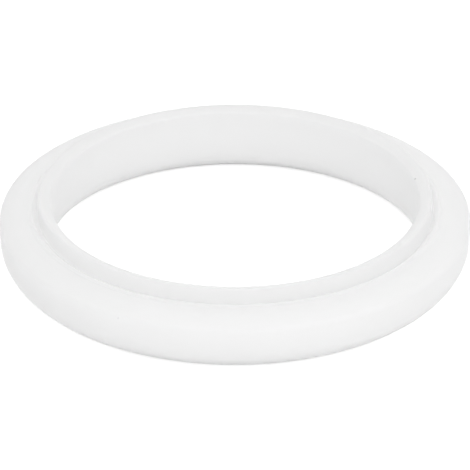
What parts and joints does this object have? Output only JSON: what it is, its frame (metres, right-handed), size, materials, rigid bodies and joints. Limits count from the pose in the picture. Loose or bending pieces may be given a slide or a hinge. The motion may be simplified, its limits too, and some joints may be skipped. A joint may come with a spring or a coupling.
{
  "type": "espresso group head gasket",
  "caption": "Moulded silicone sealing ring for an espresso group head, with a raised lip beside the bore, a narrow groove behind it and a rounded nose.",
  "frame": {"origin": "on the ring's axis, at the height of the underside of the rounded nose", "axes": "+Z along the axis of the ring, from the rounded nose towards the lip; X and Y are any two radial directions"},
  "size_m": [0.064, 0.064, 0.0099],
  "materials": {
    "silicone": "milky white silicone rubber, slightly translucent, satin"
  },
  "bodies": {
    "root": {"gasket_ring": "silicone"}
  },
  "joints": []
}
